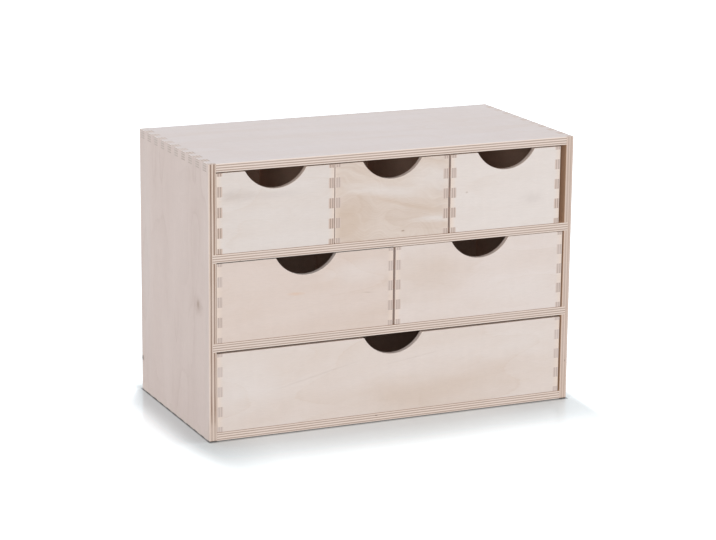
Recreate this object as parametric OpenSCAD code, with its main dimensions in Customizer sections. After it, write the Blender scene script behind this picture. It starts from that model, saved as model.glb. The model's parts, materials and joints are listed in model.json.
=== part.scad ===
// Desktop drawer unit: a finger-jointed plywood case with three bays, which holds
// three small drawers, two medium ones and one large one. Millimetres, +Z up.
// The origin is on the surface the unit stands on, under the middle of the case.
// The drawers open towards -Y.

/* [Case] */
// Width of the case over its two sides
case_width = 420; // [330:5:600]
// Depth of the case from front to back
case_depth = 210; // [150:5:320]
// Thickness of the two sides
side_board = 8.5; // [7:0.5:15]
// Thickness of the top, the bottom and the two shelves
shelf_board = 9; // [7:0.5:15]
// Thickness of the back panel
back_board = 4; // [3:0.5:6]
// How far the shelves are let into each side
shelf_housing = 4.25; // [2:0.25:5]
// Width of the rebate behind the boards that holds the back panel
back_lap = 4; // [2:0.5:5]
// Play between the back panel and the ends of its rebate
back_play = 0.2; // [0.1:0.1:0.5]

/* [Drawers] */
// Height of every drawer
drawer_height = 84.8; // [50:0.1:110]
// Thickness of the drawer walls
drawer_board = 6.5; // [5:0.5:10]
// Thickness of the drawer bottoms
bottom_board = 3; // [2:0.5:4]
// Height of a drawer bottom above the lower edge of the walls
bottom_lift = 4; // [3:0.5:10]
// How far a drawer bottom is let into the walls
bottom_housing = 3; // [1.5:0.5:3.5]
// Play between a drawer bottom and the ends and the roof of its slot
bottom_play = 0.15; // [0.05:0.05:0.3]
// Radius of the finger notch in each drawer front
notch_radius = 38.5; // [20:0.5:45]
// Depth of the finger notch below the top edge of the front
notch_depth = 20.2; // [10:0.1:30]

/* [Finger joints] */
// Width of a finger in the corners of the case
case_finger = 10.5; // [6:0.5:20]
// Width of a finger in the corners of the drawers
drawer_finger = 10.75; // [6:0.25:16]
// Width of the narrow finger at the top of each drawer corner
top_finger = 3.4; // [2:0.2:8]

/* [Running gaps] */
// Gap between the drawers and the back panel
rear_gap = 6; // [2:1:30]
// Gap above the large drawer
large_top_gap = 2; // [0.3:0.1:5]
// Gap above the medium drawers
medium_top_gap = 0.5; // [0.3:0.1:5]
// Gap above the small drawers
small_top_gap = 1.1; // [0.3:0.1:5]
// Gap between the left side and the first drawer of each row
left_gap = 0.3; // [0.2:0.1:1]
// Gap between the left and the middle small drawer
small_gap_left = 0.8; // [0.3:0.1:2]
// Gap between the middle and the right small drawer
small_gap_right = 2.5; // [0.3:0.1:4]
// Gap between the right small drawer and the right side
small_end_gap = 7; // [0.5:0.5:10]
// Gap between the two medium drawers
medium_gap = 2.6; // [0.3:0.1:4]
// Gap between the right medium drawer and the right side
medium_end_gap = 1.9; // [0.5:0.1:4]
// Gap between the large drawer and the right side
large_end_gap = 2.2; // [0.5:0.1:4]

/* [Hidden] */

// How far a cut runs past an open face, so that it leaves no skin there
past = 1;
// Facets of a full circle, used for the notches
$fn = 96;

// Inside of the case
inner_width = case_width - 2 * side_board;
inner_depth = case_depth - back_board;
outer_x = -case_width / 2;
inner_x = -inner_width / 2;
front_y = -case_depth / 2;

// Upper faces of the boards that the three rows of drawers stand on, and of the top
large_floor = shelf_board;
medium_floor = large_floor + drawer_height + large_top_gap + shelf_board;
small_floor = medium_floor + drawer_height + medium_top_gap + shelf_board;
case_height = small_floor + drawer_height + small_top_gap + shelf_board;

// Corner fingers of the case: as many as its depth holds, centred on it
case_finger_count = floor(case_depth / (2 * case_finger));
case_finger_run = (2 * case_finger_count - 1) * case_finger;
first_case_finger = front_y + (case_depth - case_finger_run) / 2;

// Drawer sizes that follow from the case and the gaps
drawer_depth = inner_depth - rear_gap;
small_gaps = left_gap + small_gap_left + small_gap_right + small_end_gap;
small_width = (inner_width - small_gaps) / 3;
medium_width = (inner_width - left_gap - medium_gap - medium_end_gap) / 2;
large_width = inner_width - left_gap - large_end_gap;

// Left face of each drawer; the first one of each row starts alike
first_x = inner_x + left_gap;
small_middle_x = first_x + small_width + small_gap_left;
small_right_x = small_middle_x + small_width + small_gap_right;
medium_right_x = first_x + medium_width + medium_gap;

// Corner fingers of a drawer: counted from the top, the lowest one keeps a minimum width
lowest_finger_min = 2;
finger_room = drawer_height - top_finger - lowest_finger_min + drawer_finger;
drawer_finger_count = floor(finger_room / (2 * drawer_finger));

// Bare birch: the whitish case, the browner back panel, pale drawers and one tan front
case_birch = [0.84, 0.79, 0.76];
back_birch = [0.78, 0.69, 0.60];
drawer_birch = [0.88, 0.83, 0.79];
tan_birch = [0.85, 0.75, 0.66];

// ---- Case ----

// Fingers of the bottom board that pass through the left side.
// As a cut they run past the faces of the side by the amount given.
module case_finger_row(run = 0) {
    for (i = [0 : case_finger_count - 1])
        translate([outer_x - run, first_case_finger + 2 * i * case_finger, -run])
            cube([side_board + 2 * run, case_finger, shelf_board + run]);
}

// Turns what belongs to the bottom of the case over to its top
module at_top() {
    translate([0, 0, case_height])
        mirror([0, 0, 1])
            children();
}

// Shows its children on the left and, mirrored, on the right
module both_sides() {
    children();
    mirror([1, 0, 0])
        children();
}

// Rebate for the back panel, cut into the rear edges of all four outer boards
module back_rebate() {
    half_width = inner_width / 2 + back_lap;
    low_end = shelf_board - back_lap;
    translate([-half_width, front_y + inner_depth, low_end])
        cube([2 * half_width, back_board + past, case_height - 2 * low_end]);
}

// Housing in the inner face of the left side for the shelf with this upper face
module shelf_groove(floor_z) {
    translate([inner_x - shelf_housing, front_y - past, floor_z - shelf_board])
        cube([shelf_housing + past, inner_depth + past, shelf_board]);
}

// The left side: finger gaps at both ends, two shelf grooves and the rear rebate
module side_shape() {
    difference() {
        translate([outer_x, front_y, 0])
            cube([side_board, case_depth, case_height]);
        case_finger_row(past);
        at_top()
            case_finger_row(past);
        shelf_groove(small_floor);
        shelf_groove(medium_floor);
        back_rebate();
    }
}

// The bottom board: its fingers reach the outer faces of the sides
module bottom_shape() {
    difference() {
        union() {
            translate([inner_x, front_y, 0])
                cube([inner_width, case_depth, shelf_board]);
            both_sides()
                case_finger_row();
        }
        back_rebate();
    }
}

// A shelf with this upper face, its ends seated in the grooves of the sides
module shelf_shape(floor_z) {
    translate([inner_x - shelf_housing, front_y, floor_z - shelf_board])
        cube([inner_width + 2 * shelf_housing, inner_depth, shelf_board]);
}

module left_side() {
    color(case_birch)
        side_shape();
}

module right_side() {
    color(case_birch)
        mirror([1, 0, 0])
            side_shape();
}

module bottom_panel() {
    color(case_birch)
        bottom_shape();
}

module top_panel() {
    color(case_birch)
        at_top()
            bottom_shape();
}

module upper_shelf() {
    color(case_birch)
        shelf_shape(small_floor);
}

module lower_shelf() {
    color(case_birch)
        shelf_shape(medium_floor);
}

module back_panel() {
    reach = back_lap - back_play;
    color(back_birch)
        translate([inner_x - reach, front_y + inner_depth, shelf_board - reach])
            cube([inner_width + 2 * reach, back_board, case_height - 2 * (shelf_board - reach)]);
}

// ---- Drawers ----
// Each drawer is drawn with its front left lower corner at the origin.

// Fingers of a front that pass through the left wall.
// As a cut they run past the faces of the wall by the amount given.
module drawer_finger_row(run = 0) {
    for (i = [0 : drawer_finger_count - 1])
        translate([-run, -run, drawer_height - top_finger - (2 * i + 1) * drawer_finger])
            cube([drawer_board + 2 * run, drawer_board + run, drawer_finger]);
}

// Swaps the front end and the rear end of a drawer
module at_rear() {
    translate([0, drawer_depth, 0])
        mirror([0, 1, 0])
            children();
}

// Swaps the left side and the right side of a drawer of this width
module at_right(width) {
    translate([width, 0, 0])
        mirror([1, 0, 0])
            children();
}

// Slot for the bottom, cut into the inner faces of all four walls
module bottom_slot(width) {
    start = drawer_board - bottom_housing;
    translate([start, start, bottom_lift])
        cube([width - 2 * start, drawer_depth - 2 * start, bottom_board + bottom_play]);
}

// Round finger notch in the middle of the top edge of a front
module finger_notch(width) {
    translate([width / 2, drawer_board / 2, drawer_height - notch_depth + notch_radius])
        rotate([90, 0, 0])
            cylinder(r = notch_radius, h = drawer_board + 2 * past, center = true);
}

// The rear board: between the walls, with fingers through both of them
module rear_shape(width) {
    at_rear()
        difference() {
            union() {
                translate([drawer_board, 0, 0])
                    cube([width - 2 * drawer_board, drawer_board, drawer_height]);
                drawer_finger_row();
                at_right(width)
                    drawer_finger_row();
            }
            bottom_slot(width);
        }
}

// The front board: the rear board turned to the front, with the notch
module front_shape(width) {
    difference() {
        at_rear()
            rear_shape(width);
        finger_notch(width);
    }
}

// The left wall of a drawer, with finger gaps at both ends and the slot
module wall_shape(width) {
    difference() {
        cube([drawer_board, drawer_depth, drawer_height]);
        drawer_finger_row(past);
        at_rear()
            drawer_finger_row(past);
        bottom_slot(width);
    }
}

// The bottom lies on the lower face of its slot
module floor_shape(width) {
    start = drawer_board - bottom_housing + bottom_play;
    translate([start, start, bottom_lift])
        cube([width - 2 * start, drawer_depth - 2 * start, bottom_board]);
}

// The left small drawer
module place_small_left() {
    translate([first_x, front_y, small_floor])
        children();
}

module small_left_front() {
    color(drawer_birch)
        place_small_left()
            front_shape(small_width);
}

module small_left_rear() {
    color(drawer_birch)
        place_small_left()
            rear_shape(small_width);
}

module small_left_wall_left() {
    color(drawer_birch)
        place_small_left()
            wall_shape(small_width);
}

module small_left_wall_right() {
    color(drawer_birch)
        place_small_left()
            at_right(small_width)
                wall_shape(small_width);
}

module small_left_bottom() {
    color(drawer_birch)
        place_small_left()
            floor_shape(small_width);
}

// The middle small drawer, which has a tan front
module place_small_middle() {
    translate([small_middle_x, front_y, small_floor])
        children();
}

module small_middle_front() {
    color(tan_birch)
        place_small_middle()
            front_shape(small_width);
}

module small_middle_rear() {
    color(drawer_birch)
        place_small_middle()
            rear_shape(small_width);
}

module small_middle_wall_left() {
    color(drawer_birch)
        place_small_middle()
            wall_shape(small_width);
}

module small_middle_wall_right() {
    color(drawer_birch)
        place_small_middle()
            at_right(small_width)
                wall_shape(small_width);
}

module small_middle_bottom() {
    color(drawer_birch)
        place_small_middle()
            floor_shape(small_width);
}

// The right small drawer
module place_small_right() {
    translate([small_right_x, front_y, small_floor])
        children();
}

module small_right_front() {
    color(drawer_birch)
        place_small_right()
            front_shape(small_width);
}

module small_right_rear() {
    color(drawer_birch)
        place_small_right()
            rear_shape(small_width);
}

module small_right_wall_left() {
    color(drawer_birch)
        place_small_right()
            wall_shape(small_width);
}

module small_right_wall_right() {
    color(drawer_birch)
        place_small_right()
            at_right(small_width)
                wall_shape(small_width);
}

module small_right_bottom() {
    color(drawer_birch)
        place_small_right()
            floor_shape(small_width);
}

// The left medium drawer
module place_medium_left() {
    translate([first_x, front_y, medium_floor])
        children();
}

module medium_left_front() {
    color(drawer_birch)
        place_medium_left()
            front_shape(medium_width);
}

module medium_left_rear() {
    color(drawer_birch)
        place_medium_left()
            rear_shape(medium_width);
}

module medium_left_wall_left() {
    color(drawer_birch)
        place_medium_left()
            wall_shape(medium_width);
}

module medium_left_wall_right() {
    color(drawer_birch)
        place_medium_left()
            at_right(medium_width)
                wall_shape(medium_width);
}

module medium_left_bottom() {
    color(drawer_birch)
        place_medium_left()
            floor_shape(medium_width);
}

// The right medium drawer
module place_medium_right() {
    translate([medium_right_x, front_y, medium_floor])
        children();
}

module medium_right_front() {
    color(drawer_birch)
        place_medium_right()
            front_shape(medium_width);
}

module medium_right_rear() {
    color(drawer_birch)
        place_medium_right()
            rear_shape(medium_width);
}

module medium_right_wall_left() {
    color(drawer_birch)
        place_medium_right()
            wall_shape(medium_width);
}

module medium_right_wall_right() {
    color(drawer_birch)
        place_medium_right()
            at_right(medium_width)
                wall_shape(medium_width);
}

module medium_right_bottom() {
    color(drawer_birch)
        place_medium_right()
            floor_shape(medium_width);
}

// The large drawer
module place_large() {
    translate([first_x, front_y, large_floor])
        children();
}

module large_front() {
    color(drawer_birch)
        place_large()
            front_shape(large_width);
}

module large_rear() {
    color(drawer_birch)
        place_large()
            rear_shape(large_width);
}

module large_wall_left() {
    color(drawer_birch)
        place_large()
            wall_shape(large_width);
}

module large_wall_right() {
    color(drawer_birch)
        place_large()
            at_right(large_width)
                wall_shape(large_width);
}

module large_bottom() {
    color(drawer_birch)
        place_large()
            floor_shape(large_width);
}

left_side();
right_side();
top_panel();
bottom_panel();
upper_shelf();
lower_shelf();
back_panel();
small_left_front();
small_left_rear();
small_left_wall_left();
small_left_wall_right();
small_left_bottom();
small_middle_front();
small_middle_rear();
small_middle_wall_left();
small_middle_wall_right();
small_middle_bottom();
small_right_front();
small_right_rear();
small_right_wall_left();
small_right_wall_right();
small_right_bottom();
medium_left_front();
medium_left_rear();
medium_left_wall_left();
medium_left_wall_right();
medium_left_bottom();
medium_right_front();
medium_right_rear();
medium_right_wall_left();
medium_right_wall_right();
medium_right_bottom();
large_front();
large_rear();
large_wall_left();
large_wall_right();
large_bottom();
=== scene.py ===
# %% [markdown]
# # A desktop drawer unit in bare birch plywood
#
# The real thing is a small chest for a work table. Its case is four plywood boards locked
# together with finger joints, with two shelves let into the sides, and six loose drawers
# slide on those shelves. There is no handle, screw or paint on it. All of its character is
# in the sheet material: pale peeled veneer on the faces, and the striped edges of the plies.
#
# So this lesson makes no new shapes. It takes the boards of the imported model, softens their
# sharp edges as sandpaper does, and spends its effort on one material that knows how
# plywood is laid up. First comes the frame, which fixes every size and place.

# %% Load the frame
import json
import math

import bmesh
import bpy
import numpy as np
from mathutils import Matrix, Vector
from mathutils.bvhtree import BVHTree


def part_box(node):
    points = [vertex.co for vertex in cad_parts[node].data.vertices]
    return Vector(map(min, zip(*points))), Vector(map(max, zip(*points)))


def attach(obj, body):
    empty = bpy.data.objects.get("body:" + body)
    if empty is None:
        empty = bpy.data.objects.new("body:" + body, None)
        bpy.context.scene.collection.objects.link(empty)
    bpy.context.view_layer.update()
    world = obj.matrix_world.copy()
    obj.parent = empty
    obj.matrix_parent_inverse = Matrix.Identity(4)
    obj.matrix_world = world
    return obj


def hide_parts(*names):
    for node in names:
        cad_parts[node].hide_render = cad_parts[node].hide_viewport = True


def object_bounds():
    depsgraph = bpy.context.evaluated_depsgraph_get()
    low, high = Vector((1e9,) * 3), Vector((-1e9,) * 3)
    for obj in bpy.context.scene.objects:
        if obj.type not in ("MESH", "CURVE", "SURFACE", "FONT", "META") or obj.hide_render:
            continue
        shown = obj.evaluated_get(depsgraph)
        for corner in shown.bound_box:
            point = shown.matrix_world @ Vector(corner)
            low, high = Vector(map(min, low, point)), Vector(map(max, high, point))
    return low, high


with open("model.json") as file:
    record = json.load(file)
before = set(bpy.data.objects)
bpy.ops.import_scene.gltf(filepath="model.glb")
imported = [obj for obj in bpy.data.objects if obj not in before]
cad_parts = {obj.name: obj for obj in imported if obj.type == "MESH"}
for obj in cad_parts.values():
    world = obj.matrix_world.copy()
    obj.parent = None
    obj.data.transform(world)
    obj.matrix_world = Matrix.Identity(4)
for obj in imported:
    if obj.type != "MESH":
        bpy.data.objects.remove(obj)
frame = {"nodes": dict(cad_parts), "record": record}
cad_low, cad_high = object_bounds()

MM = 0.001
size = cad_high - cad_low
print("case in mm:", [round(s / MM, 1) for s in size], "boards:", len(frame["nodes"]))

# %% [markdown]
# ## The camera
#
# A maker's picture of a small chest is taken from a little above and to one side, with a
# long lens, so that its upright edges stay almost parallel. The place of the camera could be
# typed in as three coordinates, but an azimuth, an elevation and a distance from the point
# it looks at say more, and they can be changed one at a time.

# %% Place the camera
CAMERA_AZIMUTH = -24.16
CAMERA_ELEVATION = 13.93
CAMERA_ROLL = 0.55
CAMERA_DISTANCE = 2.745
CAMERA_LENS = 126.0
CAMERA_SENSOR = 36.0
CAMERA_SIGHT = 100.0
CAMERA_TARGET = Vector((0.0041, 0.0, 0.1403))


def direction(azimuth, elevation):
    """Unit vector from the object to an onlooker: azimuth turns from the front (-Y) to the
    right (+X), elevation rises from the floor, both in degrees."""
    a, e = math.radians(azimuth), math.radians(elevation)
    return Vector((math.sin(a) * math.cos(e), -math.cos(a) * math.cos(e), math.sin(e)))


def aim(obj, place, target, roll=0.0):
    """Puts a camera or lamp at a place, looking at the target, then rolls it."""
    look = (target - place).to_track_quat("-Z", "Y").to_matrix().to_4x4()
    obj.matrix_world = Matrix.Translation(place) @ look @ Matrix.Rotation(roll, 4, "Z")


camera = bpy.data.objects.new("camera", bpy.data.cameras.new("camera"))
camera.data.lens = CAMERA_LENS
camera.data.sensor_width = CAMERA_SENSOR
camera.data.clip_end = CAMERA_SIGHT
bpy.context.scene.collection.objects.link(camera)
bpy.context.scene.camera = camera
from_target = direction(CAMERA_AZIMUTH, CAMERA_ELEVATION) * CAMERA_DISTANCE
aim(camera, CAMERA_TARGET + from_target, CAMERA_TARGET, math.radians(CAMERA_ROLL))
print("camera at", [round(c, 3) for c in camera.matrix_world.translation])

# %% [markdown]
# ## Writing shader maths as Python
#
# A wood pattern is a formula, and a formula is hard to read as forty wired nodes. Here a
# small class wraps one output socket. Adding, multiplying or comparing two of them adds the
# Math node, so the lines below read like the sums they stand for. Every other node comes
# from one method, which takes the node's type, its settings and what goes into its sockets.


# %% Wires that can be added and multiplied
class Wire:
    """One output socket. Arithmetic on it adds Math nodes to the same tree."""

    def __init__(self, graph, socket):
        self.graph = graph
        self.socket = socket

    def math(self, operation, *others, clamp=False):
        settings = {"operation": operation, "use_clamp": clamp}
        inputs = dict(enumerate((self, *others)))
        return self.graph.node("ShaderNodeMath", settings, inputs)

    def __add__(self, other):
        return self.math("ADD", other)

    def __mul__(self, other):
        return self.math("MULTIPLY", other)

    def __sub__(self, other):
        return self.math("SUBTRACT", other)

    def __truediv__(self, other):
        return self.math("DIVIDE", other)

    def __pow__(self, other):
        return self.math("POWER", other)

    def __rsub__(self, other):
        return self.graph.number(other).math("SUBTRACT", self)

    __radd__ = __add__
    __rmul__ = __mul__

    def absolute(self):
        return self.math("ABSOLUTE")

    def sine(self):
        return self.math("SINE")

    def step(self, low, high):
        """0 below low and 1 above high, with a smooth rise between them."""
        settings = {"interpolation_type": "SMOOTHSTEP"}
        inputs = {"Value": self, "From Min": low, "From Max": high}
        return self.graph.node("ShaderNodeMapRange", settings, inputs, "Result")


# %% A node tree to write them in
class Graph:
    """The node tree of one material or world, emptied, with one method that adds nodes."""

    def __init__(self, owner):
        owner.use_nodes = True
        self.tree = owner.node_tree
        self.tree.nodes.clear()

    def node(self, kind, settings=None, inputs=None, output=0):
        """Adds a node, sets its properties first and its sockets second, returns an output."""
        made = self.tree.nodes.new(kind)
        for name, value in (settings or {}).items():
            setattr(made, name, value)
        for key, value in (inputs or {}).items():
            if isinstance(value, Wire):
                self.tree.links.new(value.socket, made.inputs[key])
            else:
                made.inputs[key].default_value = value
        return Wire(self, made.outputs[output]) if made.outputs else made

    def number(self, value):
        """A plain number as a socket, for the left side of a reflected sum."""
        return self.node("ShaderNodeMath", {"operation": "ADD"}, {0: value, 1: 0.0})

    def axes(self, wire):
        """The three numbers of a vector socket."""
        split = self.tree.nodes.new("ShaderNodeSeparateXYZ")
        self.tree.links.new(wire.socket, split.inputs[0])
        return [Wire(self, out) for out in split.outputs]

    def vector(self, x, y, z):
        return self.node("ShaderNodeCombineXYZ", None, {0: x, 1: y, 2: z})

    def noise(self, x, y, z, detail=2.0, roughness=0.5):
        """Blender's noise at a point given in its own cells: about 0.5 on average."""
        inputs = {"Vector": self.vector(x, y, z), "Scale": 1.0}
        inputs.update({"Detail": detail, "Roughness": roughness})
        return self.node("ShaderNodeTexNoise", {"noise_dimensions": "3D"}, inputs, "Fac")

    def mix(self, factor, first, second):
        """The first colour where factor is 0, the second where it is 1."""
        settings = {"data_type": "RGBA", "clamp_factor": True}
        return self.node(
            "ShaderNodeMix", settings, {"Factor": factor, 6: first, 7: second}, 2
        )

    def scaled(self, colour, amount):
        """A colour times a number, which keeps its hue."""
        settings = {"operation": "SCALE"}
        return self.node("ShaderNodeVectorMath", settings, {0: colour, "Scale": amount})


def colour(red, green, blue):
    """A screen colour, 0 to 255 in each channel, as the linear colour that Blender uses."""
    screen = np.array([red, green, blue]) / 255.0
    low = screen / 12.92
    high = ((screen + 0.055) / 1.055) ** 2.4
    return (*np.where(screen <= 0.04045, low, high).tolist(), 1.0)


# %% [markdown]
# ## Light, floor and background
#
# Pale wood loses its figure as soon as it is lit too hard, so this is a bright, even room
# with three very soft lights. One stands beside the camera, low enough to shine through the
# finger notches into the drawers. One hangs overhead and a little behind, and gives the top
# its brightness and the case its shade on the table. A weak one lifts the left side. All
# three are suns with a wide disc: a sun lights the whole floor alike, where an area lamp
# would leave its far end grey.

# %% Light the room
ROOM_LIGHT = 0.46
LAMP_AWAY = 3.0
SUNS = {
    "softbox_by_camera": {"azimuth": -24, "elevation": 15, "angle": 28, "level": 0.50},
    "softbox_overhead": {"azimuth": 118, "elevation": 60, "angle": 50, "level": 0.29},
    "fill_from_left": {"azimuth": -92, "elevation": 25, "angle": 60, "level": 0.11},
}

scene = bpy.context.scene
scene.view_settings.view_transform = "Standard"

world = bpy.data.worlds.new("room")
scene.world = world
room = Graph(world)
seen = room.node("ShaderNodeLightPath", output="Is Camera Ray")
mirrored = room.node("ShaderNodeLightPath", output="Is Glossy Ray")
white_to = seen.math("MAXIMUM", mirrored)
strength = ROOM_LIGHT + white_to * (1.0 - ROOM_LIGHT)
sky = room.node("ShaderNodeBackground", None, {"Color": (1, 1, 1, 1), "Strength": strength})
room.node("ShaderNodeOutputWorld", None, {"Surface": sky})

for name, sun in SUNS.items():
    data = bpy.data.lights.new(name, "SUN")
    data.angle = math.radians(sun["angle"])
    data.energy = sun["level"] * math.pi
    lamp = bpy.data.objects.new(name, data)
    scene.collection.objects.link(lamp)
    place = direction(sun["azimuth"], sun["elevation"]) * LAMP_AWAY
    aim(lamp, place, Vector((0, 0, size.z / 2)))
print("suns:", list(SUNS))

# %% [markdown]
# The table top is white and slightly polished. A background is meant to be pure white, but
# more light would bleach the wood as well. So the floor is simply whiter to the camera than
# it is to the wood: the Light Path node tells the two kinds of ray apart. Close to the case
# an Ambient Occlusion node darkens it further, a painted shade, and brings in a faint
# reflection of the boards. The case keeps its shade in a patch that reaches a hand's breadth
# to the front and less to the sides, and past that patch the paper is bleached. On top of
# that, painted shade is laid by distance from the case: it is deepest beside the left side
# and round the right front corner, and it opens out from the rear corners. Where wood meets
# paper lies a thin seam of painted shadow.

# %% Lay the floor
FLOOR_HALF = 12.0
FLOOR_TO_WOOD = colour(205, 205, 205)
FLOOR_TO_CAMERA = 1.22
FLOOR_BLEACHED = 1.8
COOL_WHITE = (0.945, 1.0, 1.025)
COOL_POLISH = (0.93, 1.0, 1.06, 1.0)
POLISH = 0.30
POLISH_ROUGHNESS = 0.12
OCCLUSION_REACH = 0.15
OCCLUSION_DEPTH = 0.20
OCCLUSION_SOFT = (0.02, 0.45)

# How far the shade reaches from each side of the case, in mm. Its side reach is narrow at
# the rear corners and opens over some way to the front.
SHADE_LEFT = 40.0
SHADE_RIGHT = 20.0
SHADE_FRONT = 165.0
SHADE_REAR = 30.0
SHADE_NARROWEST = 0.22
SHADE_OPENS = (-15.0, 60.0)
SHADE_SOFT = (0.2, 1.1)

# The painted dark seam under the edges, and the painted shade at two corners: how far each
# reaches, in mm, and the share of light that it takes. inner is how far a corner's painted
# shade runs back along the front.
PAINTED_SEAM = {"side": 2.1, "front": 5.5, "rear": 5.5}
SEAM_DEPTH = 0.66
SEAM_SOFT = (0.3, 1.0)
LEFT_PAINTED_SHADE = {"side": 40.0, "front": 130.0, "rear": SHADE_REAR, "inner": 60.0}
LEFT_DEPTH = 0.20
RIGHT_PAINTED_SHADE = {"side": 11.0, "front": 160.0, "rear": SHADE_REAR, "inner": 110.0}
RIGHT_DEPTH = 0.18

half = FLOOR_HALF
corners = np.array([[-half, -half, 0], [half, -half, 0], [half, half, 0], [-half, half, 0]])
floor_mesh = bpy.data.meshes.new("floor")
floor_mesh.from_pydata(corners.tolist(), [], [(0, 1, 2, 3)])
floor = bpy.data.objects.new("floor", floor_mesh)
scene.collection.objects.link(floor)

# %% Measure the way to the case on the paper
paper = bpy.data.materials.new("white_floor")
graph = Graph(paper)
east, north, _ = graph.axes(graph.node("ShaderNodeTexCoord", output="Object"))
ahead = (north + size.y / 2) * (-1 / MM)
behind = (north - size.y / 2) * (1 / MM)
past_left = (east + size.x / 2) * (-1 / MM)
past_right = (east - size.x / 2) * (1 / MM)
beside = past_left.math("MAXIMUM", past_right)


def outside(across, side, front, rear, inner=1e6):
    """How far a point lies from the case, or inward from its corner, where 1 is the reach."""
    outward = across.math("MAXIMUM", 0.0) * (1 / side)
    inward = (0.0 - across).math("MAXIMUM", 0.0) * (1 / inner)
    along = ahead.math("MAXIMUM", 0.0) * (1 / front)
    along = along + behind.math("MAXIMUM", 0.0) * (1 / rear)
    return ((outward + inward) ** 2.0 + along ** 2.0).math("SQRT")


# %% Shade the paper round the case
# The paper keeps its rendered shade inside the patch. Laid over it are a painted seam, painted
# shade at the left side and the right front corner, and painted shade from Ambient Occlusion.
opening = (0.0 - behind).step(*SHADE_OPENS)
narrow = SHADE_NARROWEST + (1.0 - SHADE_NARROWEST) * opening
past_side = (past_left / narrow).math("MAXIMUM", past_right * (SHADE_LEFT / SHADE_RIGHT))
away = outside(past_side, SHADE_LEFT, SHADE_FRONT, SHADE_REAR).step(*SHADE_SOFT)
painted_seam = 1.0 - outside(beside, **PAINTED_SEAM).step(*SEAM_SOFT)
left_painted_shade = outside(past_left / narrow, **LEFT_PAINTED_SHADE).math("MINIMUM", 1.0)
right_painted_shade = outside(past_right, **RIGHT_PAINTED_SHADE).math("MINIMUM", 1.0)
reach = {"Distance": OCCLUSION_REACH}
open_sky = graph.node("ShaderNodeAmbientOcclusion", {"samples": 16}, reach, "AO")
near = (1.0 - open_sky).step(*OCCLUSION_SOFT)
shaded = FLOOR_TO_CAMERA * (1.0 - near * OCCLUSION_DEPTH)
level = shaded * (1.0 - away) + away * FLOOR_BLEACHED
level = level * (1.0 - painted_seam * SEAM_DEPTH)
level = level * (1.0 - (1.0 - left_painted_shade) * LEFT_DEPTH)
level = level * (1.0 - (1.0 - right_painted_shade) * RIGHT_DEPTH)

# %% Mix the paper
white = graph.scaled(COOL_WHITE, level)
bright = graph.node("ShaderNodeBsdfDiffuse", None, {"Color": white})
gloss_inputs = {"Color": COOL_POLISH, "Roughness": POLISH_ROUGHNESS}
gloss = graph.node("ShaderNodeBsdfGlossy", None, gloss_inputs)
table = graph.node("ShaderNodeMixShader", None, {0: near * POLISH, 1: bright, 2: gloss})
dull = graph.node("ShaderNodeBsdfDiffuse", None, {"Color": FLOOR_TO_WOOD})
lens_ray = graph.node("ShaderNodeLightPath", output="Is Camera Ray")
both = graph.node("ShaderNodeMixShader", None, {0: lens_ray, 1: dull, 2: table})
graph.node("ShaderNodeOutputMaterial", None, {"Surface": both})
floor_mesh.materials.append(paper)
print("floor", 2 * FLOOR_HALF, "m wide")

# %% [markdown]
# ## How birch plywood is laid up
#
# A board is an odd number of thin veneers, glued with the grain of each at right angles to
# the next. The grain of both faces runs the same way. Where an edge cuts a veneer along its
# grain it stays pale; where it cuts across the fibres, the open pores drink dirt and light
# and it turns brown. That one rule makes every stripe on the unit: brown lines in pale
# edges, and the dark finger ends that stand against pale faces in each corner.
#
# The stripes could be painted for each board. It is better to let the material work them
# out from the board's own box, its grain axis and the direction each face looks, because
# then a finger end, a shelf edge and the curved cut of a finger notch all come out right.

# %% Describe a board
AXES = {"X": 0, "Y": 1, "Z": 2}
SKIN_PLAY = 1.0 * MM
# The share of inner colour on the outer sides of drawer walls, partly painted shade that
# darkens the gaps between drawers.
DRAWER_SIDE_HIDDEN = 0.6
MIDDLE_BLUR = 0.4


def body_box(members):
    """The box round all the boards of one body."""
    lows, highs = zip(*(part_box(node) for node in members))
    return np.min(lows, axis=0), np.max(highs, axis=0)


class Board:
    """The three directions of one board, found from its box: the thickness is the shortest
    side, the grain is told, and the third direction runs across the grain. Its plies are
    alike unless ply and first_ply, both in mm, say otherwise. A side of the board is hidden
    if it doesn't lie in the skin of its body's box."""

    def __init__(self, node, grain, plies, body_low, body_high, ply=None, first_ply=None):
        self.low, self.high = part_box(node)
        extent = self.high - self.low
        self.thick = min(range(3), key=lambda axis: extent[axis])
        self.along = AXES[grain]
        self.across = 3 - self.thick - self.along
        self.length = extent[self.along] / MM
        self.thickness = extent[self.thick] / MM
        self.plies = plies
        self.ply = ply or self.thickness / plies
        self.first_ply = first_ply or self.ply
        outer = DRAWER_SIDE_HIDDEN if "_wall_" in node else 0.0
        low_inside = self.low[self.thick] > body_low[self.thick] + SKIN_PLAY
        high_inside = self.high[self.thick] < body_high[self.thick] - SKIN_PLAY
        self.low_hidden = 1.0 if low_inside else outer
        self.high_hidden = 1.0 if high_inside else outer
        self.foot = body_low[2] if self.low[2] < body_low[2] + SKIN_PLAY else None


# %% Where a point lies in its board
def board_place(graph, board):
    """Lengths in mm from the board's low corner: along the grain, across it, through it."""
    point = graph.axes(graph.node("ShaderNodeTexCoord", output="Object"))
    order = (board.along, board.across, board.thick)
    return [(point[axis] - board.low[axis]) * (1 / MM) for axis in order]


def board_facing(graph, board):
    """How squarely a face looks along the grain, across it and through the board, 0 to 1."""
    normal = graph.axes(graph.node("ShaderNodeTexCoord", output="Normal"))
    return [normal[axis].absolute() for axis in (board.along, board.across, board.thick)]


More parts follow.
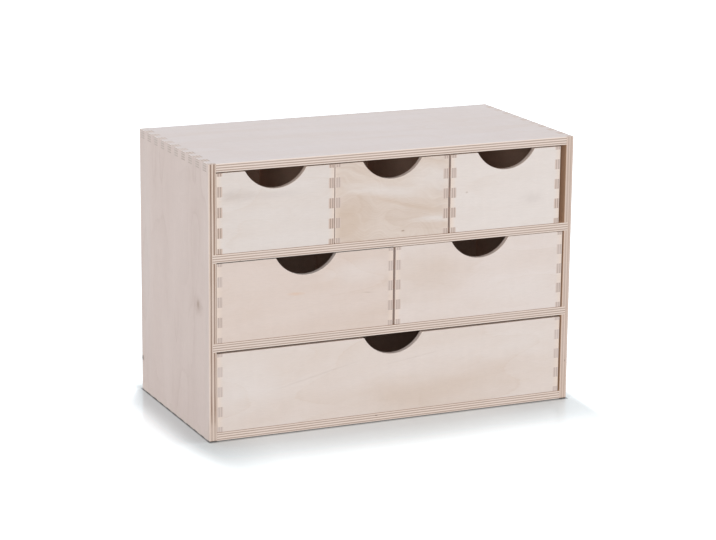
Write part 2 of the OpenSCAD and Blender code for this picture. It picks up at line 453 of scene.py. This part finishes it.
def hidden_side(board, through):
    """1 on a side that stays inside the unit, 0 on one that shows, and something between
    on the outer sides of a drawer, which only show when it is pulled out or as the gaps
    between drawers; the inner colour there is partly painted shade."""
    middle = board.thickness / 2
    far = through.step(middle - MIDDLE_BLUR, middle + MIDDLE_BLUR)
    return board.low_hidden + far * (board.high_hidden - board.low_hidden)


# %% The plies as stripes
# The glue lines wander by a share of a ply, over these lengths in mm, flat and through.
GLUE_WANDER = 0.24
GLUE_CELL = (31.0, 9.0)

# How a glue line fades, in shares of a ply, and how softly cross plies start and end.
GLUE_FADE = (0.02, 0.10)
CROSS_FADE = 0.32

# A gap in an inner ply: its size in mm, how rare it is, where in the ply its edge fades,
# and how far apart the plies lie in its noise.
VOID_CELL = 13.0
VOID_RARE = (0.84, 0.88)
VOID_EDGE = (0.1, 0.3)
VOID_APART = 7.7


def ply_number(graph, board, along, across, through):
    """How many plies deep a point is. A slow noise lets the glue lines wander a little. The
    two outer plies reach to the faces, however thick that makes them."""
    flat, thin = GLUE_CELL
    wander = graph.noise(along / flat, across / flat, through / thin, detail=1.0) - 0.5
    depth = (through - board.first_ply) * (1 / board.ply) + 1.0 + wander * GLUE_WANDER
    return depth.math("MAXIMUM", 0.5).math("MINIMUM", board.plies - 0.5)


def cross_ply(number):
    """1 inside the veneers whose grain runs across the board's, 0 in the others: the sine
    of half a turn per ply is negative in every second ply."""
    return (0.0 - (number * math.pi).sine()).step(-CROSS_FADE, CROSS_FADE)


def ply_tone(graph, number, seed):
    """Each ply comes off another log, so it has a shade of its own, about -1 to 1."""
    settings = {"noise_dimensions": "1D"}
    whole = number.math("FLOOR") + seed
    shade = graph.node("ShaderNodeTexWhiteNoise", settings, {"W": whole}, "Value")
    return (shade - 0.5) * 2.0


def glue_line(number):
    """1 in the thin brown line of glue between two plies."""
    part = number.math("FRACT")
    edge = part.math("MINIMUM", 1.0 - part)
    return 1.0 - edge.step(*GLUE_FADE)


def core_void(graph, number, along, across, seed):
    """A rare short gap inside the board, where two pieces of an inner ply didn't meet."""
    whole = number.math("FLOOR") * VOID_APART + seed
    gap = graph.noise(along / VOID_CELL, across / VOID_CELL, whole, detail=0.0)
    part = number.math("FRACT")
    inside = part.step(*VOID_EDGE) * (1.0 - part).step(*VOID_EDGE)
    return gap.step(*VOID_RARE) * inside


def open_grain(facing, cross):
    """How much a point shows cut fibre ends: the facing along whichever way its ply runs."""
    along, across, _ = facing
    return (along + cross * (across - along)) ** 2.0


# %% [markdown]
# ## The face veneer
#
# Birch veneer is peeled off a turning log as a ribbon. The knife follows the growth rings,
# so the figure is like the height lines on a map: long, slow shapes with soft insides and
# a finer, feathered brown line where one year's wood stops. Over it lie fine fibres and
# short pores, both drawn out along the grain, and a faint shimmer across it.
#
# Blender has a Wave texture for wood, but its rings are round and regular. Here the rings
# are the height lines of a stretched noise, which is just what the peeling knife makes. All
# the other traits are noises too, and differ in little but their length and their width.

# %% The figure of peeled veneer
# Each trait is a noise of its own: the length and the width of its cells in mm, along the
# grain and across it, where in the noise it starts, its detail and its roughness.
RING = (190.0, 52.0, 0.0, 1.0, 0.5)
FEATHER = (16.0, 1.1, 1.9, 2.0, 0.5)
REGION = (120.0, 60.0, 5.1, 1.0, 0.5)
DRIFT = (150.0, 30.0, 7.3, 3.0, 0.55)
SWING = (30.0, 34.0, 21.3, 1.0, 0.5)
LINE = (46.0, 3.4, 23.7, 2.0, 0.6)
FIBRE = (9.0, 1.0, 3.1, 4.0, 0.65)
PORE = (2.4, 0.2, 11.7, 1.0, 0.5)
GLEAM = (7.5, 34.0, 17.9, 1.5, 0.5)

# The rings that a broad swell of the noise is cut into, and where in a ring its early wood
# darkens, its late wood begins and its line ends. Only some regions show them.
RINGS = 7.0
FEATHERING = 0.22
EARLY_WOOD = (0.2, 0.97)
LATE_WOOD = (0.86, 0.97)
RING_END = (0.97, 1.0)
REGION_SOFT = (0.35, 0.65)
LINE_SWING = 44.0

# Blender's noise keeps near 0.5. These stretch what it does there to about -1 to 1.
DRIFT_SPREAD = 3.4
LINE_SPREAD = 3.0
FIBRE_SPREAD = 3.0
GLEAM_SPREAD = 2.0
PORE_RARE = (0.66, 0.80)


def trait(graph, along, across, seed, kind):
    """One trait at a point of the veneer. seed tells one board's veneer from another's."""
    length, width, start, detail, roughness = kind
    return graph.noise(along / length, across / width, seed + start, detail, roughness)


def ring_figure(graph, along, across, seed, lean):
    """Height lines of a noise that is drawn out along the grain.

    The noise is multiplied by a count of rings and only its fraction is kept: that rises
    slowly through the early wood of a ring and drops back after its late wood. A short,
    long-drawn noise is added to the height first and feathers the lines. lean is how many
    mm the figure climbs across for each mm along it."""
    tilted = across - along * lean
    height = trait(graph, along, tilted, seed, RING)
    feather = trait(graph, along, across, seed, FEATHER)
    rings = (height * RINGS + feather * FEATHERING).math("FRACT")
    wood = rings.step(*EARLY_WOOD) * 0.5 + rings.step(*LATE_WOOD) * 0.5
    region = trait(graph, along, tilted, seed, REGION)
    return wood * (1.0 - rings.step(*RING_END)) * region.step(*REGION_SOFT)


# %% Drift, lines, fibres, pores and gleam
def tone_drift(graph, along, across, seed, lean):
    """Broad bands that are a little darker or lighter, longer than wide, about -1 to 1."""
    tilted = across - along * lean
    return (trait(graph, along, tilted, seed, DRIFT) - 0.5) * DRIFT_SPREAD


def growth_lines(graph, along, across, seed, lean):
    """Many thin lines that run together and swing together, about -1 to 1: a fine noise
    across the grain, pushed up and down by a slow one."""
    swing = trait(graph, along, across, seed, SWING) - 0.5
    bent = across - along * lean + swing * LINE_SWING
    return (trait(graph, along, bent, seed, LINE) - 0.5) * LINE_SPREAD


def fibres(graph, along, across, seed):
    """Hair-fine streaks, about -1 to 1."""
    return (trait(graph, along, across, seed, FIBRE) - 0.5) * FIBRE_SPREAD


def pores(graph, along, across, seed):
    """Short dark dashes where a pore was cut open, 0 to 1."""
    return trait(graph, along, across, seed, PORE).step(*PORE_RARE)


def shimmer(graph, along, across, seed):
    """Pale bands across the grain, where the fibres dip in and out of the cut."""
    return (trait(graph, along, across, seed, GLEAM) - 0.5) * GLEAM_SPREAD


# %% [markdown]
# A sheet also has marks that belong to one spot: a pith fleck, a pin knot, a tan cloud. Each
# is a soft oval with a ragged edge, given by its middle, its two half sizes and its lean.

# %% A mark on the veneer
OVAL_RAGGED = 0.9
OVAL_SOFT = (0.1, 1.15)


def oval(graph, along, across, middle, half, lean, seed):
    """1 in the middle of a ragged oval, 0 outside it, soft in between."""
    out = along - middle[0]
    up = across - middle[1] - out * lean
    square = (out / half[0]) ** 2.0 + (up / half[1]) ** 2.0
    ragged = graph.noise(along / half[0] * 2.0, across / half[1] * 2.0, seed, detail=2.0)
    return 1.0 - (square.math("SQRT") + (ragged - 0.5) * OVAL_RAGGED).step(*OVAL_SOFT)


# %% [markdown]
# ## One birch material
#
# The parts above meet here. The veneer colour covers what faces out of the board and the
# ply colours cover its edges. The sides that stay inside the unit are browner: partly
# because they are left as the press made them, while the outside is sanded and whitened,
# and partly as painted shade for the dim inside of the unit. A drawer that is pulled out
# shows its inner sides in the daylight, and there the painted shade fades and they are
# nearly as pale as its front. An arris is palest of all, a painted highlight that partly
# stands for the paler wood of a sanded arris. The lower edge that a body stands on gets a
# thin painted contact shadow, and so does a stretch of the upper shelf's lower edge. Sawn
# fibre ends are rough, the sanded face is smoother, and a bump of a few hundredths of a
# millimetre lets the fibres catch the light.

# %% What a sheet of birch is like
PALE = colour(230, 220, 214)
TAN = colour(206, 180, 158)
# The pale of the arrises: a painted highlight, partly the paler wood of a sanded arris.
ARRIS_HIGHLIGHT_AND_WEAR = colour(247, 234, 224)
FINGER_DUST = colour(222, 210, 205)
# The colours of the painted contact shadow along the foot of the case and of each drawer.
FOOT_SHADOW = colour(72, 63, 59)
DRAWER_FOOT_SHADOW = colour(150, 108, 86)
CORNER = colour(236, 218, 204)
CORNER_WIDTH = 7.5
# A drawer's inner colours where the room can see them; where it can't, its inside colours are
# partly painted shade.
OPEN_PALE = colour(225, 209, 199)
OPEN_TAN = colour(203, 178, 160)
OPEN_REACH = 0.5
OPEN_SIGHT = (0.06, 0.32)

# The drift between pale and tan grows with the figure.
DRIFT_LEAST = 0.06
DRIFT_BY_FIGURE = 0.4

# How much each trait darkens or lightens the wood, and how unevenly the dust lies.
FIBRE_DEPTH = 0.036
GLEAM_DEPTH = 0.020
PORE_DEPTH = 0.08
PLY_DEPTH = 0.035
GLUE_DEPTH = 0.07
STREAK_DEPTH = 0.16
GRIT_DEPTH = 0.08
END_GRIT_DEPTH = 0.35
DUST_PATCHES = 0.8
WASH_PATCHES = 0.4

# The grain of what shows on a cut edge, in mm: specks, streaks along and through the
# board, and patches of dust.
SPECK = 0.4
STREAK = (5.0, 0.16)
PATCH = (40.0, 13.0)

# A painted contact shadow on a lower edge is darkest up to this height, and a painted shadow
# gap fades over this length at its ends, in mm.
DARKEST = 0.2
GAP_SHADOW_FADE = 1.0

# How squarely a face has to look out of the board's edge, or along the grain, to count.
EDGE_ON = (0.25, 0.55)
END_ON = (0.8, 0.95)

FACE_ROUGHNESS = 0.56
SAWN_ROUGHNESS = 0.76
WOOD_IOR = 1.42
# How strong the painted highlight on the arrises is.
ARRIS_HIGHLIGHT_GAIN = 3.0

# The bump: its strength, its full height, and how high fibres and sawn specks stand in it.
BUMP_STRENGTH = 0.3
BUMP_HEIGHT = 0.06 * MM
HAIR_HEIGHT = 0.5
SPECK_HEIGHT = 2.0

# What a sheet is like unless it says otherwise. warmth, figure and lines mix its tan into
# its pale, and lean tilts them. inside_pale and inside_tan colour its inner sides, partly
# raw wood and partly painted shade. dust whitens its finger ends and wash its other cut
# edges. inside_loss is a painted shade that darkens its inner sides, and opens is true for
# a board of a drawer. foot is the colour of a painted contact shadow along a lower edge,
# foot_shadow_height the height of that in mm, painted_gap_shadow a stretch of a lower edge
# that gets the same painted shadow, and arris_highlight_share is how pale the painted
# highlight on the arrises is. corners is how pale both ends of its face are. marks lie in
# the veneer and flecks on it.
PLAIN = {
    "pale": PALE,
    "tan": TAN,
    "warmth": 0.10,
    "figure": 0.20,
    "lean": 0.0,
    "lines": 0.05,
    "inside_pale": colour(216, 184, 157),
    "inside_tan": colour(194, 156, 127),
    "edge_pale": colour(224, 208, 196),
    "edge_brown": colour(184, 161, 147),
    "dust": 0.35,
    "dust_tint": FINGER_DUST,
    "wash": 0.0,
    "inside_loss": 0.0,
    "opens": False,
    "painted_gap_shadow": None,
    "foot": FOOT_SHADOW,
    "foot_shadow_height": 1.4,
    "arris_highlight_share": 1.0,
    "corners": 0.0,
    "marks": (),
    "flecks": (),
}
TINTS = {
    "tan": colour(207, 184, 164),
    "white": colour(233, 225, 221),
    "grey": colour(196, 184, 178),
    "brown": colour(150, 118, 94),
    "orange": colour(226, 184, 148),
    "dark": colour(92, 64, 48),
    "dusty": colour(220, 202, 190),
}


# %% Colour the face
def daylight(graph):
    """0 on a face that is shut inside the unit, 1 on one that the room can look at."""
    inputs = {"Distance": OPEN_REACH}
    sight = graph.node("ShaderNodeAmbientOcclusion", {"samples": 4}, inputs, "AO")
    return sight.step(*OPEN_SIGHT)


def inner_veneer(graph, sheet):
    """The pale and the tan of a side that stays inside, and the painted shade that darkens
    it. Light that is caught in a shut drawer goes from wall to wall and takes up their brown,
    more than a few bounces can show. So a drawer's inner sides are painted browner and darker
    while it is shut, and the painted shade fades where the Ambient Occlusion node finds the
    room in sight."""
    pale, tan, loss = sheet["inside_pale"], sheet["inside_tan"], sheet["inside_loss"]
    if not sheet["opens"]:
        return pale, tan, loss
    lit = daylight(graph)
    return graph.mix(lit, pale, OPEN_PALE), graph.mix(lit, tan, OPEN_TAN), (1.0 - lit) * loss


def veneer_colour(graph, board, sheet, seed, place, hidden):
    """The face of the board: pale to tan by ring and drift, then the sheet's own marks."""
    along, across, _ = place
    rings = ring_figure(graph, along, across, seed, sheet["lean"])
    drift = tone_drift(graph, along, across, seed, sheet["lean"])
    lines = growth_lines(graph, along, across, seed, sheet["lean"])
    drifting = DRIFT_LEAST + DRIFT_BY_FIGURE * sheet["figure"]
    share = sheet["warmth"] + rings * sheet["figure"] + drift * drifting
    share = share + lines * sheet["lines"]
    inner_pale, inner_tan, loss = inner_veneer(graph, sheet)
    pale = graph.mix(hidden, sheet["pale"], inner_pale)
    tan = graph.mix(hidden, sheet["tan"], inner_tan)
    veneer = graph.scaled(graph.mix(share, pale, tan), 1.0 - hidden * loss)
    for index, (tint, depth, middle, size, lean) in enumerate(sheet["marks"]):
        spot = oval(graph, along, across, middle, size, lean, seed + index) * depth
        veneer = graph.mix(spot * (1.0 - hidden), veneer, TINTS[tint])
    if sheet["corners"]:
        end = along.step(board.length - CORNER_WIDTH, board.length)
        corner = (1.0 - along.step(0.0, CORNER_WIDTH) + end) * sheet["corners"]
        veneer = graph.mix(corner, veneer, CORNER)
    return veneer


# %% Colour the cut edge
def edge_colour(graph, board, sheet, seed, place, facing):
    """The cut edge: pale and brown plies, glue lines, and finger ends that are whitened,
    some more and some less, by sanding dust."""
    along, across, through = place
    number = ply_number(graph, board, along, across, through)
    ends = open_grain(facing, cross_ply(number))
    speck = graph.noise(along / SPECK, across / SPECK, through / SPECK, detail=2.0)
    streak = graph.noise(along / STREAK[0], across / STREAK[0], through / STREAK[1], seed + 2.0)
    sawn = graph.mix(ends, sheet["edge_pale"], sheet["edge_brown"])
    light = ply_tone(graph, number, seed) * PLY_DEPTH - glue_line(number) * GLUE_DEPTH
    grit = (speck - 0.5) * (GRIT_DEPTH + ends * END_GRIT_DEPTH) + (streak - 0.5) * STREAK_DEPTH
    sawn = graph.scaled(sawn, 1.0 + light + grit)
    sawn = graph.mix(core_void(graph, number, along, across, seed), sawn, TINTS["dark"])
    patchy = graph.noise(along / PATCH[0], across / PATCH[1], through / PATCH[0], detail=0.0)
    dust = facing[0].step(*END_ON) * ((patchy - 0.5) * DUST_PATCHES + sheet["dust"])
    wash = (patchy - 0.5) * WASH_PATCHES + sheet["wash"]
    return graph.mix(dust.math("MAXIMUM", wash), sawn, sheet["dust_tint"]), speck


def painted_edge_shadows(graph, board, sheet, along, base):
    """Paints a contact shadow on the foot of a board that its body stands on, and a shadow gap
    along a hem if the sheet has one: a stretch of its lower edge, from and to in mm along the
    grain, and its height."""
    height = graph.axes(graph.node("ShaderNodeTexCoord", output="Object"))[2]
    # A painted contact shadow along the foot.
    if board.foot is not None:
        contact_shadow = 1.0 - ((height - board.foot) * (1 / MM)).step(DARKEST, sheet["foot_shadow_height"])
        base = graph.mix(contact_shadow, base, sheet["foot"])
    # A painted shadow gap along a stretch of a lower edge.
    if sheet["painted_gap_shadow"]:
        start, end, depth = sheet["painted_gap_shadow"]
        within = along.step(start - GAP_SHADOW_FADE, start) * (1.0 - along.step(end, end + GAP_SHADOW_FADE))
        shade = 1.0 - ((height - board.low[2]) * (1 / MM)).step(DARKEST, depth)
        base = graph.mix(shade * within, base, sheet["foot"])
    return base


# %% Mix the birch
def birch(name, board, seed, sheet):
    """The plywood of one board, as its sheet says. seed picks a piece of the veneer roll."""
    material = bpy.data.materials.new(name)
    graph = Graph(material)
    place = board_place(graph, board)
    along, across, through = place
    facing = board_facing(graph, board)
    hidden = hidden_side(board, through)
    hair = fibres(graph, along, across, seed)
    dots = pores(graph, along, across, seed)
    gleam = shimmer(graph, along, across, seed)
    veneer = veneer_colour(graph, board, sheet, seed, place, hidden)
    traits = hair * FIBRE_DEPTH + gleam * GLEAM_DEPTH - dots * PORE_DEPTH
    veneer = graph.scaled(veneer, 1.0 + traits)
    sawn, speck = edge_colour(graph, board, sheet, seed, place, facing)

    edge = 1.0 - facing[2].step(*EDGE_ON)
    # A painted highlight on the rounded arrises, partly the paler wood of a sanded arris.
    arris_highlight_mask = facing[2] * (1.0 - facing[2]) * ARRIS_HIGHLIGHT_GAIN * sheet["arris_highlight_share"]
    base = graph.mix(edge, veneer, sawn)
    base = graph.mix(arris_highlight_mask, base, ARRIS_HIGHLIGHT_AND_WEAR)
    for index, (tint, depth, middle, size, lean) in enumerate(sheet["flecks"]):
        spot = oval(graph, along, across, middle, size, lean, seed - index)
        base = graph.mix(spot * depth, base, TINTS[tint])
    base = painted_edge_shadows(graph, board, sheet, along, base)
    height = hair * HAIR_HEIGHT - dots + edge * (speck - 0.5) * SPECK_HEIGHT
    bump_inputs = {"Strength": BUMP_STRENGTH, "Distance": BUMP_HEIGHT, "Height": height}
    bump = graph.node("ShaderNodeBump", None, bump_inputs)
    roughness = FACE_ROUGHNESS + edge * (SAWN_ROUGHNESS - FACE_ROUGHNESS)
    shader_inputs = {"Base Color": base, "Roughness": roughness, "Normal": bump}
    shader_inputs["IOR"] = WOOD_IOR
    shader = graph.node("ShaderNodeBsdfPrincipled", None, shader_inputs)
    graph.node("ShaderNodeOutputMaterial", None, {"Surface": shader})
    return material


# %% [markdown]
# ## Softened boards
#
# No sanded board has a razor edge: a cabinet maker breaks each arris with a few strokes,
# and that narrow round catches a line of light which tells the eye how crisp the work is.
# The lower edges get a wider one, so that they don't splinter when the unit is pushed
# across a table. The joints are different. They are glued first and sanded flush after, so
# the lines where two boards meet stay tight. A bevel by angle alone would open every finger
# into a groove. So a copy of each board is merged into clean flat faces, and each of its
# edges is tested: if another board of the same body lies against it, the bevel there is
# only a hairline.

# %% Copy and clean a board
ARRIS = 0.9 * MM
FREE_SHARE = 0.55
JOINT_SHARE = 0.07
FOOT_SHARE = 1.0
PROBE = 0.3 * MM
HOP = 0.001 * MM
MERGE = 0.001 * MM
ON_TABLE = 0.01 * MM
FLAT = math.radians(0.5)
SMOOTH = math.radians(20)
SHARP = math.radians(30)
SKEW = Vector((0.31, 0.47, 0.83)).normalized()


def clean_copy(node):
    """A merged copy of a CAD node's triangles, with its flat faces whole again."""
    shape = bmesh.new()
    shape.from_mesh(frame["nodes"][node].data)
    bmesh.ops.remove_doubles(shape, verts=shape.verts, dist=MERGE)
    bmesh.ops.dissolve_limit(shape, angle_limit=FLAT, verts=shape.verts, edges=shape.edges)
    shape.normal_update()
    return shape


def is_inside(tree, point):
    """True if a ray from the point crosses the closed surface an odd number of times. The
    ray is skew to all the boards, so that it never runs along one of their faces."""
    start = point.copy()
    hits = 0
    while True:
        place = tree.ray_cast(start, SKEW)[0]
        if place is None:
            return hits % 2 == 1
        hits += 1
        start = place + SKEW * HOP


# %% Choose how far each edge is rounded
def edge_weights(shape, neighbours):
    """A bevel weight for each edge: 0 where it is flat or hollow, most where it stands on
    the table, half where it is free, and a hairline where a neighbour touches a face."""
    weights = []
    for edge in shape.edges:
        if edge.calc_face_angle_signed(0.0) < SHARP:
            weights.append(0.0)
            continue
        middle = (edge.verts[0].co + edge.verts[1].co) / 2
        one, two = (face.normal for face in edge.link_faces)
        probes = (middle + (one - two) * PROBE, middle + (two - one) * PROBE)
        joined = any(is_inside(tree, probe) for tree in neighbours for probe in probes)
        on_table = max(vert.co.z for vert in edge.verts) < ON_TABLE
        share = JOINT_SHARE if joined else FOOT_SHARE if on_table else FREE_SHARE
        weights.append(share)
    return weights


def softened(node, neighbours, body):
    """The board as a new piece of the scene, with a bevel that follows the edge weights."""
    shape = clean_copy(node)
    weights = edge_weights(shape, neighbours)
    mesh = bpy.data.meshes.new(node + "_sanded")
    shape.to_mesh(mesh)
    shape.free()
    mesh.shade_smooth()
    mesh.set_sharp_from_angle(angle=SMOOTH)
    layer = mesh.attributes.new("bevel_weight_edge", "FLOAT", "EDGE")
    layer.data.foreach_set("value", np.array(weights, np.float32))

    piece = bpy.data.objects.new(node + "_sanded", mesh)
    scene.collection.objects.link(piece)
    bevel = piece.modifiers.new("arris", "BEVEL")
    bevel.limit_method = "WEIGHT"
    bevel.width = ARRIS
    bevel.segments = 2
    bevel.harden_normals = True
    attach(piece, body)
    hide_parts(node)
    return piece


# %% [markdown]
# ## What each board is like
#
# The boards come off different sheets. The case is the whitest, its sides a little warmer.
# Most drawer fronts are pale with broad faint bands, one small front is plainly tan with a
# wavy, slanting figure, and the two medium ones are pinkish. Grain runs left to right on all
# of them but the sides, where it stands upright, as it also does in the drawer walls.
#
# A mark is a tint, its depth, its middle along and across the grain from the board's low
# corner, its two half sizes, all in mm, and its lean.

# %% What the boards of one kind share
WALL = {"edge_pale": colour(212, 191, 178), "edge_brown": colour(168, 144, 129)}
# Drawer insides are partly raw wood and partly painted shade: darker and browner from the small
# drawers to the large one, as their insides are dimmer seen through the notch.
SMALL_INSIDE = {"inside_pale": colour(228, 191, 169), "inside_tan": colour(207, 163, 138)}
MEDIUM_INSIDE = {"inside_pale": colour(215, 180, 160), "inside_tan": colour(193, 151, 130)}
LARGE_INSIDE = {"inside_pale": colour(197, 162, 144), "inside_tan": colour(176, 134, 116)}
SIDE = {
    # Its pale is a little lighter than the other boards', partly painted light that lifts the
    # sides, which the lamps reach less.
    "pale": colour(235, 220, 214),
    "tan": colour(208, 188, 180),
    "warmth": 0.12,
    "figure": 0.26,
    "edge_pale": colour(222, 203, 189),
    "edge_brown": colour(150, 122, 106),
    "dust": 0.74,
    "wash": 0.06,
    "arris_highlight_share": 0.35,
}
LEVEL = {"edge_pale": colour(236, 221, 211), "edge_brown": colour(186, 164, 151)}

# %% The sheets of the case
CASE_SHEETS = {
    "top_panel": {
        **LEVEL,
        "pale": colour(225, 216, 215),
        "warmth": 0.04,
        "figure": 0.10,
        "dust": 0.64,
    },
    "bottom_panel": {**LEVEL, "dust": 1.4, "dust_tint": colour(230, 216, 209), "foot_shadow_height": 0.6},
    # Its hem is a painted shadow gap along its lower front edge, above the left medium drawer.
    "upper_shelf": {**LEVEL, "painted_gap_shadow": (5.0, 203.0, 0.8)},
    "lower_shelf": LEVEL,
    "left_side": {
        **SIDE,
        "marks": (
            ("brown", 0.26, (139.0, 30.5), (13.0, 13.0), 0.0),
            ("brown", 0.42, (140.5, 31.5), (6.0, 3.4), 0.0),
            ("white", 0.3, (150.0, 190.0), (150.0, 18.0), 0.0),
        ),
        "flecks": (
            ("dark", 1.0, (37.0, 209.5), (4.0, 7.0), 0.0),
            ("dusty", 0.6, (8.0, 0.0), (24.0, 6.0), 0.0),
        ),
    },
    "right_side": {
        **SIDE,
        # Its inner side is painted darker, shade as it shows in the gap beside the drawers.
        "inside_pale": colour(196, 162, 134),
        "inside_tan": colour(176, 138, 108),
        "edge_pale": colour(216, 196, 183),
        "edge_brown": colour(197, 174, 160),
        "dust": 0.8,
    },
}

# %% The sheets of the drawer fronts
FRONT_SHEETS = {
    "small_left_front": {
        "pale": colour(228, 219, 214),
        "warmth": 0.06,
        "figure": 0.12,
        "marks": (
            ("grey", 0.35, (20.0, 60.0), (24.0, 8.0), 0.0),
            ("grey", 0.18, (62.0, 58.0), (46.0, 6.0), 0.0),
        ),
    },
    "small_middle_front": {
        "pale": colour(229, 216, 207),
        "tan": colour(205, 183, 166),
        "warmth": 0.34,
        "figure": 0.22,
        "lean": -0.22,
        "lines": 0.26,
        "corners": 0.35,
        "marks": (
            ("tan", 0.55, (14.0, 20.0), (36.0, 30.0), 0.0),
            ("white", 0.62, (56.0, 53.0), (56.0, 9.0), -0.12),
            ("white", 0.65, (112.0, 62.0), (42.0, 20.0), 0.0),
            ("tan", 0.34, (72.0, 38.0), (44.0, 3.0), -0.28),
            ("tan", 0.34, (104.0, 31.0), (34.0, 5.0), -0.22),
            ("white", 0.70, (114.0, 18.0), (30.0, 4.5), -0.05),
            ("brown", 0.70, (78.0, 7.6), (2.4, 1.0), 0.0),
        ),
    },
    "small_right_front": {
        "pale": colour(232, 223, 218),
        "warmth": 0.02,
        "figure": 0.08,
        "marks": (
            ("grey", 0.20, (97.0, 31.0), (18.0, 9.0), 0.0),
            ("brown", 0.35, (19.0, 43.0), (2.0, 1.2), 0.0),
        ),
    },
    "medium_left_front": {
        "pale": colour(229, 215, 208),
        "warmth": 0.22,
        "figure": 0.16,
        "marks": (
            ("orange", 0.36, (88.0, 45.0), (11.0, 2.2), -0.04),
            ("white", 0.35, (158.0, 62.0), (46.0, 16.0), 0.0),
            ("brown", 0.25, (169.0, 39.0), (7.0, 0.8), -0.1),
        ),
    },
    "medium_right_front": {
        "pale": colour(232, 221, 216),
        "warmth": 0.10,
        "figure": 0.14,
        "marks": (
            ("tan", 0.30, (34.0, 50.0), (64.0, 38.0), 0.0),
            ("white", 0.35, (150.0, 24.0), (60.0, 20.0), 0.0),
        ),
    },
    "large_front": {
        "pale": colour(231, 220, 214),
        "warmth": 0.14,
        "figure": 0.16,
        "lean": 0.06,
        "marks": (
            ("tan", 0.36, (240.0, 16.0), (135.0, 30.0), 0.04),
            ("brown", 0.10, (112.0, 50.0), (62.0, 1.3), 0.22),
            ("brown", 0.08, (226.0, 58.0), (42.0, 1.2), 0.14),
            ("white", 0.50, (28.0, 46.0), (52.0, 42.0), 0.0),
            ("white", 0.40, (352.0, 60.0), (60.0, 20.0), 0.0),
        ),
    },
}

# %% Which sheet a board comes from
SHEETS = {**CASE_SHEETS, **FRONT_SHEETS}

# A board is in the first of these rows that its name starts with.
ROWS = {
    "small_left": {"wash": 0.17, **SMALL_INSIDE},
    "small": {"wash": 0.35, **SMALL_INSIDE},
    "medium": {"wash": 0.47, **MEDIUM_INSIDE},
    "large": {"wash": 0.60, **LARGE_INSIDE},
}
# A drawer's lower edge gets a painted contact shadow where it stands on its shelf.
IN_DRAWER = {"foot": DRAWER_FOOT_SHADOW, "foot_shadow_height": 0.8, "opens": True}
FRONT_CORNERS = 0.8

# A painted shade on the rear board of a shut drawer: the share of the light that it takes away.
REAR_LOSS = {"small_left": 0.19, "small": 0.12, "medium": 0.34, "large": 0.26}

# The ends of the names of upright-grained boards, and of those with three and five plies.
STANDING = ("left_side", "right_side", "wall_left", "wall_right")
THREE_PLY = ("_bottom", "back_panel")
FIVE_PLY = ("_front", "_rear", "_wall_left", "_wall_right", "_side")

# The sides of the case are pressed unevenly: an inner ply and the first outer one, in mm.
SIDE_PLIES = {"left_side": (1.75, 1.83), "right_side": (1.48, 1.86)}


def ply_count(node):
    """Thin boards have three plies, drawer boards and case sides five, the others seven."""
    return 3 if node.endswith(THREE_PLY) else 5 if node.endswith(FIVE_PLY) else 7


def sheet_of(node):
    """The plain sheet, changed by the board's row, by its place in a drawer and by itself."""
    row = next((name for name in ROWS if node.startswith(name)), None)
    sheet = dict(PLAIN)
    if row:
        sheet.update({**ROWS[row], **IN_DRAWER})
    if node.endswith("_front"):
        sheet["corners"] = FRONT_CORNERS
    if "_wall_" in node:
        sheet.update(WALL)
    if node.endswith("_rear"):
        sheet["inside_loss"] = REAR_LOSS[row]
    return {**sheet, **SHEETS.get(node, {})}


# %% Make the boards
SEED_STEP = 5.37
bodies = frame["record"]["behaviour"]["bodies"]
count = 0
for body, members in bodies.items():
    around = body_box(members)
    trees = {}
    for node in members:
        shape = clean_copy(node)
        trees[node] = BVHTree.FromBMesh(shape)
        shape.free()
    for node in members:
        grain = "Z" if node.endswith(STANDING) else "X"
        board = Board(node, grain, ply_count(node), *around, *SIDE_PLIES.get(node, ()))
        others = [tree for other, tree in trees.items() if other != node]
        piece = softened(node, others, body)
        wood = birch(node + "_birch", board, SEED_STEP * count, sheet_of(node))
        piece.data.materials.append(wood)
        count += 1
print("sanded boards:", count)
